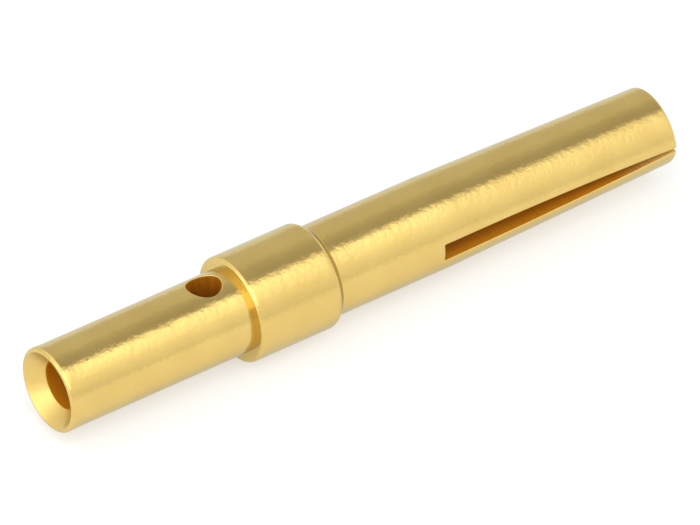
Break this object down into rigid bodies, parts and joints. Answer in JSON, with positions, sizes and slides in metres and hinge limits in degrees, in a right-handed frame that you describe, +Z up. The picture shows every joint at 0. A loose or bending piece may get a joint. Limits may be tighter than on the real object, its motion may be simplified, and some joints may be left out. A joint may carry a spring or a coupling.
{
  "type": "crimp socket contact",
  "caption": "Turned and gold-plated socket contact with a crimp barrel, an inspection hole, a retaining collar and slit spring tines closed in at the tip.",
  "frame": {"origin": "on the axis, in the plane of the collar's rear shoulder", "axes": "+X along the axis from the crimp mouth to the socket tip, +Z up on the side of the inspection hole"},
  "size_m": [0.0209, 0.0032, 0.0032],
  "materials": {
    "gold_plating": "satin gold plate over turned brass"
  },
  "bodies": {
    "root": {"socket_contact": "gold_plating"}
  },
  "joints": []
}
